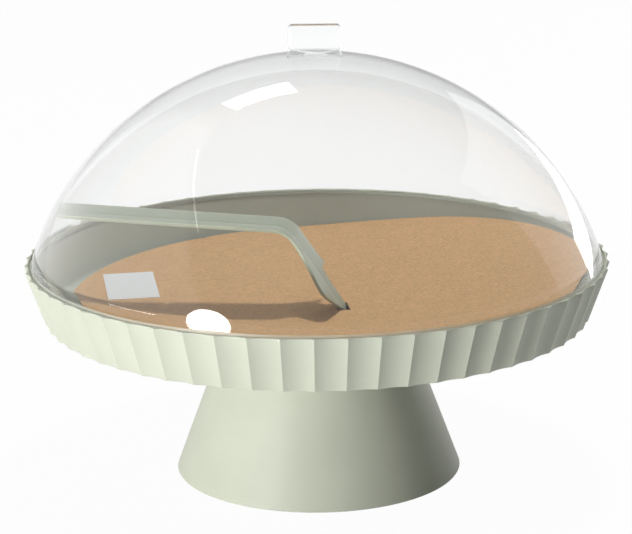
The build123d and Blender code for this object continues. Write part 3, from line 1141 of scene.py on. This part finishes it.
def clear_plastic(context):
    """Polished clear styrene: sharp reflections, a hardly visible flow waviness from moulding,
    and the light that falls on the things inside goes straight through it."""
    found = bpy.data.materials.get("clear_polished_styrene")
    if found:
        return found
    material = new_material("clear_polished_styrene")
    tree = material.node_tree
    tint = tuple(context.scene.cakestand_dome.tint)
    wave = noise(tree, object_place(tree), 40 * MM, 1.0, 0.4)
    shader = add_node(tree, "ShaderNodeBsdfPrincipled", {
        "Base Color": tint,
        "Roughness": spread(tree, wave, (0.3, 0.7), (0.0, 0.02)),
        "IOR": 1.49,
        "Transmission Weight": 1.0,
        "Normal": relief(tree, wave, 0.25, 0.25 * MM),
    })
    # Lamps and light from the room reach the inside once, by straight rays only
    lamps = add_node(tree, "ShaderNodeBsdfTransparent", {"Color": tint})
    path = add_node(tree, "ShaderNodeLightPath")
    straight = add_node(tree, "ShaderNodeMath", {
        0: path.outputs["Is Shadow Ray"], 1: path.outputs["Diffuse Depth"]}, operation="MAXIMUM")
    both = add_node(tree, "ShaderNodeMixShader", {
        0: straight.outputs[0], 1: shader.outputs[0], 2: lamps.outputs[0]})
    add_node(tree, "ShaderNodeOutputMaterial", {"Surface": both.outputs[0]})
    return material


def whitish_foot_painted_highlight():
    """Whitish, cloudy and only half clear band on the dome's foot: a painted highlight that stands for the
    bright line along the foot.
    """
    material = new_material("dome_foot_painted_highlight")
    tree = material.node_tree
    cloud = noise(tree, object_place(tree), 6 * MM, 2.0, 0.5)
    principled(tree, {
        "Base Color": srgb("D8DCD0"),
        "Roughness": 0.35,
        "IOR": 1.49,
        "Transmission Weight": spread(tree, cloud, (0.3, 0.7), (0.6, 0.75)),
    })
    return material


def kraft_board(context):
    """Uncoated kraft paperboard: matt, with short darker and paler fibres that lie mostly one way
    and a soft cloudiness from the pulp. The fibres are drawn coarser than life so that they show."""
    material = new_material("kraft_paperboard")
    tree = material.node_tree
    place = object_place(tree)
    turned = add_node(tree, "ShaderNodeMapping", {
        "Vector": place, "Rotation": (0, 0, radians(12)), "Scale": (0.75, 1.0, 1.0)})
    fibre = noise(tree, turned.outputs[0], 1.3 * MM, 3.0, 0.75)
    pulp = noise(tree, place, 9 * MM, 3.0, 0.6)
    shade = add_node(tree, "ShaderNodeMath", {
        0: spread(tree, fibre, (0.3, 0.7), (0.78, 1.18)),
        1: spread(tree, pulp, (0.3, 0.7), (0.96, 1.03)),
    }, operation="MULTIPLY")
    principled(tree, {
        "Base Color": shaded(tree, context.scene.cakestand_card.board, shade.outputs[0]),
        "Roughness": 0.85,
        "Specular IOR Level": 0.3,
        "Normal": relief(tree, fibre, 0.3, 0.05 * MM),
    })
    return material


def board_edge(context):
    """The die-cut edge of the board: a little darker, with the plies as fine lines."""
    material = new_material("kraft_cut_edge")
    tree = material.node_tree
    flat = add_node(tree, "ShaderNodeMapping", {
        "Vector": object_place(tree), "Scale": (1.0, 1.0, 9.0)})
    plies = noise(tree, flat.outputs[0], 2 * MM, 3.0, 0.5)
    shade = spread(tree, plies, (0.3, 0.7), (0.7, 0.95))
    principled(tree, {
        "Base Color": shaded(tree, context.scene.cakestand_card.board, shade),
        "Roughness": 0.9,
        "Specular IOR Level": 0.2,
    })
    return material


def label_paper():
    """Uncoated white paper: matt, with a faint tooth."""
    material = new_material("matt_white_paper")
    tree = material.node_tree
    tooth = noise(tree, object_place(tree), 0.8 * MM, 3.0, 0.6)
    shade = spread(tree, tooth, (0.3, 0.7), (0.93, 1.0))
    principled(tree, {
        "Base Color": shaded(tree, srgb("ECECEC"), shade),
        "Roughness": 0.7,
        "Normal": relief(tree, tooth, 0.2, 0.03 * MM),
    })
    return material


def seen_directly(tree, kinds):
    """1 for rays of these kinds that come from the eye, and 0 for those that carry light on."""
    path = add_node(tree, "ShaderNodeLightPath")
    seen = path.outputs["Is Camera Ray"]
    for kind in kinds:
        seen = add_node(
            tree, "ShaderNodeMath", {0: seen, 1: path.outputs[kind]}, operation="MAXIMUM").outputs[0]
    from_eye = add_node(
        tree, "ShaderNodeMath", {0: path.outputs["Diffuse Depth"], 1: 0.5}, operation="LESS_THAN")
    both = add_node(tree, "ShaderNodeMath", {0: seen, 1: from_eye.outputs[0]}, operation="MULTIPLY")
    return both.outputs[0]


def floor_material():
    """Pale floor that reads as white and keeps a faint shadow."""
    material = new_material("pale_floor")
    tree = material.node_tree
    matt = add_node(tree, "ShaderNodeBsdfDiffuse", {"Color": srgb("F0F0F0")})
    white = add_node(tree, "ShaderNodeEmission", {"Strength": 1.0})
    seen = seen_directly(tree, ("Is Glossy Ray", "Is Transmission Ray"))
    share = add_node(tree, "ShaderNodeMath", {0: seen, 1: 0.97}, operation="MULTIPLY")
    both = add_node(tree, "ShaderNodeMixShader", {
        0: share.outputs[0], 1: matt.outputs[0], 2: white.outputs[0]})
    add_node(tree, "ShaderNodeOutputMaterial", {"Surface": both.outputs[0]})
    return material


def studio_world():
    """White where it is seen directly. Gloss sees a pale room, darker on the right and with a
    brighter wall on the left, and the light that falls on the stand comes mostly from above."""
    world = bpy.data.worlds.new("pale_studio")
    world.use_nodes = True
    tree = world.node_tree
    tree.nodes.clear()
    direction = add_node(tree, "ShaderNodeTexCoord").outputs["Generated"]
    axes = add_node(tree, "ShaderNodeSeparateXYZ", {"Vector": direction})
    room = spread(tree, axes.outputs["X"], (-0.35, 0.1), (1.0, 0.72))
    wall_edge = (0.723, -0.374, 0.58)
    past_edge = add_node(tree, "ShaderNodeVectorMath", {
        0: direction, 1: wall_edge}, operation="DOT_PRODUCT")
    wall = spread(tree, past_edge.outputs["Value"], (-0.04, 0.0), (0.45, 0.0))
    left = spread(tree, axes.outputs["X"], (-0.45, -0.35), (1.0, 0.0))
    mirror = add_node(tree, "ShaderNodeMath", {0: wall, 1: left, 2: room}, operation="MULTIPLY_ADD")
    ceiling = spread(tree, axes.outputs["Z"], (0.0, 1.0), (0.02, 0.37))
    path = add_node(tree, "ShaderNodeLightPath")
    carried = add_node(
        tree, "ShaderNodeMath", {0: path.outputs["Diffuse Depth"], 1: 0.5}, operation="GREATER_THAN")
    lit = add_node(tree, "ShaderNodeMix", {0: carried.outputs[0], 2: mirror.outputs[0], 3: ceiling})
    mirrored = add_node(
        tree, "ShaderNodeMath", {0: path.outputs["Glossy Depth"], 1: 0.5}, operation="LESS_THAN")
    white = add_node(tree, "ShaderNodeMath", {
        0: seen_directly(tree, ("Is Transmission Ray",)), 1: mirrored.outputs[0]}, operation="MULTIPLY")
    level = add_node(tree, "ShaderNodeMix", {0: white.outputs[0], 2: lit.outputs[0], 3: 1.0})
    background = add_node(tree, "ShaderNodeBackground", {"Strength": level.outputs[0]})
    add_node(tree, "ShaderNodeOutputWorld", {"Surface": background.outputs[0]})
    return world


def add_softbox(name, aim, direction, distance, size, power):
    """Rectangular soft light that faces a spot. It stands in a direction from it, given as the
    azimuth from +X and the elevation in degrees, and its size is its width and its height."""
    light = bpy.data.lights.new(name, "AREA")
    light.shape = "RECTANGLE"
    light.size, light.size_y = size
    light.energy = power
    made = bpy.data.objects.new(name, light)
    around, up = (radians(angle) for angle in direction)
    out = Vector((cos(around) * cos(up), sin(around) * cos(up), sin(up)))
    made.location = Vector(aim) + out * distance
    made.rotation_euler = (-out).to_track_quat("-Z", "Y").to_euler()
    bpy.context.scene.collection.objects.link(made)
    return made


def add_lights():
    """Low broad light from the front left, small lights for the highlights on the dome, one from
    overhead for the insides, and pale panels on the right."""
    middle = (0, 0, 0.1)
    crown = (-0.045, -0.045, 0.205)
    shoulder = (-0.09, -0.05, 0.17)
    lower_front = (-0.045, -0.13, 0.14)
    right_end = (0, 1.45, 0.54)
    add_softbox("main_box", middle, (-131, -0.6), distance=2.0, size=(0.6, 0.16), power=38)
    add_softbox("left_fill", middle, (-165, -1), distance=2.0, size=(0.8, 0.12), power=7.5)
    front = add_softbox("front_box", lower_front, (-134, 20.5), distance=1.5, size=(0.5, 0.26), power=7)
    front.data.shape = "ELLIPSE"
    front.visible_diffuse = False
    add_softbox("back_box", crown, (105, 46), distance=1.5, size=(0.40, 0.22), power=1.6)
    top = add_softbox("top_box", middle, (65, 78), distance=1.6, size=(0.17, 0.17), power=12)
    top.visible_glossy = False
    top.visible_transmission = False
    strip = add_softbox("thin_strip", shoulder, (176, 54), distance=1.5, size=(1.0, 0.012), power=0.12)
    strip.rotation_euler.rotate_axis("Z", radians(-10.6))
    add_softbox("right_edge", middle, (55, 1.5), distance=1.6, size=(0.8, 0.24), power=2.2)
    add_softbox("right_panel", right_end, (0, 0), distance=0.9, size=(2.5, 1.08), power=3.1)


def add_camera():
    """Camera at the photograph's viewing angle, with the small shift that its framing needs."""
    data = bpy.data.cameras.new("camera")
    data.sensor_fit = "HORIZONTAL"
    data.sensor_width = 36.0
    data.lens = 139.75
    data.shift_x = -0.00115
    camera = bpy.data.objects.new("camera", data)
    place = Matrix.Translation((0, -1.21999, 0.43897))
    pitch = Matrix.Rotation(radians(74.765), 4, "X")
    roll = Matrix.Rotation(radians(-0.62), 4, "Z")
    camera.matrix_world = place @ pitch @ roll
    bpy.context.scene.collection.objects.link(camera)
    bpy.context.scene.camera = camera


class CAKESTAND_OT_stage(Operator):
    """Set up the floor, the lights and the camera"""

    bl_idname = "cakestand.stage"
    bl_label = "Stage"

    def execute(self, context):
        bm = bmesh.new()
        bmesh.ops.create_grid(bm, x_segments=1, y_segments=1, size=6.0)
        floor = mesh_object("floor", bm)
        floor.data.materials.append(floor_material())
        context.scene.world = studio_world()
        add_lights()
        add_camera()
        context.scene.view_settings.view_transform = "Standard"
        return {"FINISHED"}


class CAKESTAND_PT_panel(Panel):
    """Sizes and build buttons of the cake stand"""

    bl_idname = "CAKESTAND_PT_panel"
    bl_label = "Cake Stand"
    bl_space_type = "VIEW_3D"
    bl_region_type = "UI"
    bl_category = "Cake Stand"

    def draw(self, context):
        for group, operators in PARTS:
            box = self.layout.box()
            if group:
                settings = getattr(context.scene, group)
                for name in settings.__annotations__:
                    box.prop(settings, name)
            for operator in operators:
                box.operator(operator)


GROUPS = {
    "cakestand_tray": TraySizes,
    "cakestand_spigot": SpigotSizes,
    "cakestand_dome": DomeSizes,
    "cakestand_tab": TabSizes,
    "cakestand_server": ServerSizes,
    "cakestand_card": CardSizes,
}

PARTS = (
    ("cakestand_tray", ("cakestand.tray", "cakestand.foot")),
    ("cakestand_spigot", ()),
    ("cakestand_dome", ("cakestand.dome",)),
    ("cakestand_tab", ("cakestand.tab",)),
    ("cakestand_server", ("cakestand.server",)),
    ("cakestand_card", ("cakestand.card", "cakestand.label")),
    (None, ("cakestand.stage",)),
)

OPERATORS = (
    CAKESTAND_OT_tray,
    CAKESTAND_OT_foot,
    CAKESTAND_OT_dome,
    CAKESTAND_OT_tab,
    CAKESTAND_OT_server,
    CAKESTAND_OT_card,
    CAKESTAND_OT_label,
    CAKESTAND_OT_stage,
)


def register():
    """Registers the settings, the operators and the panel."""
    for name, group in GROUPS.items():
        bpy.utils.register_class(group)
        setattr(bpy.types.Scene, name, PointerProperty(type=group))
    for operator in OPERATORS:
        bpy.utils.register_class(operator)
    bpy.utils.register_class(CAKESTAND_PT_panel)


def unregister():
    """Takes the panel, the operators and the settings away again."""
    bpy.utils.unregister_class(CAKESTAND_PT_panel)
    for operator in reversed(OPERATORS):
        bpy.utils.unregister_class(operator)
    for name, group in GROUPS.items():
        delattr(bpy.types.Scene, name)
        bpy.utils.unregister_class(group)


def main():
    """Builds the whole stand with its operators, in order."""
    register()
    for _group, operators in PARTS:
        for operator in operators:
            family, name = operator.split(".")
            getattr(getattr(bpy.ops, family), name)()


if __name__ == "__main__":
    main()
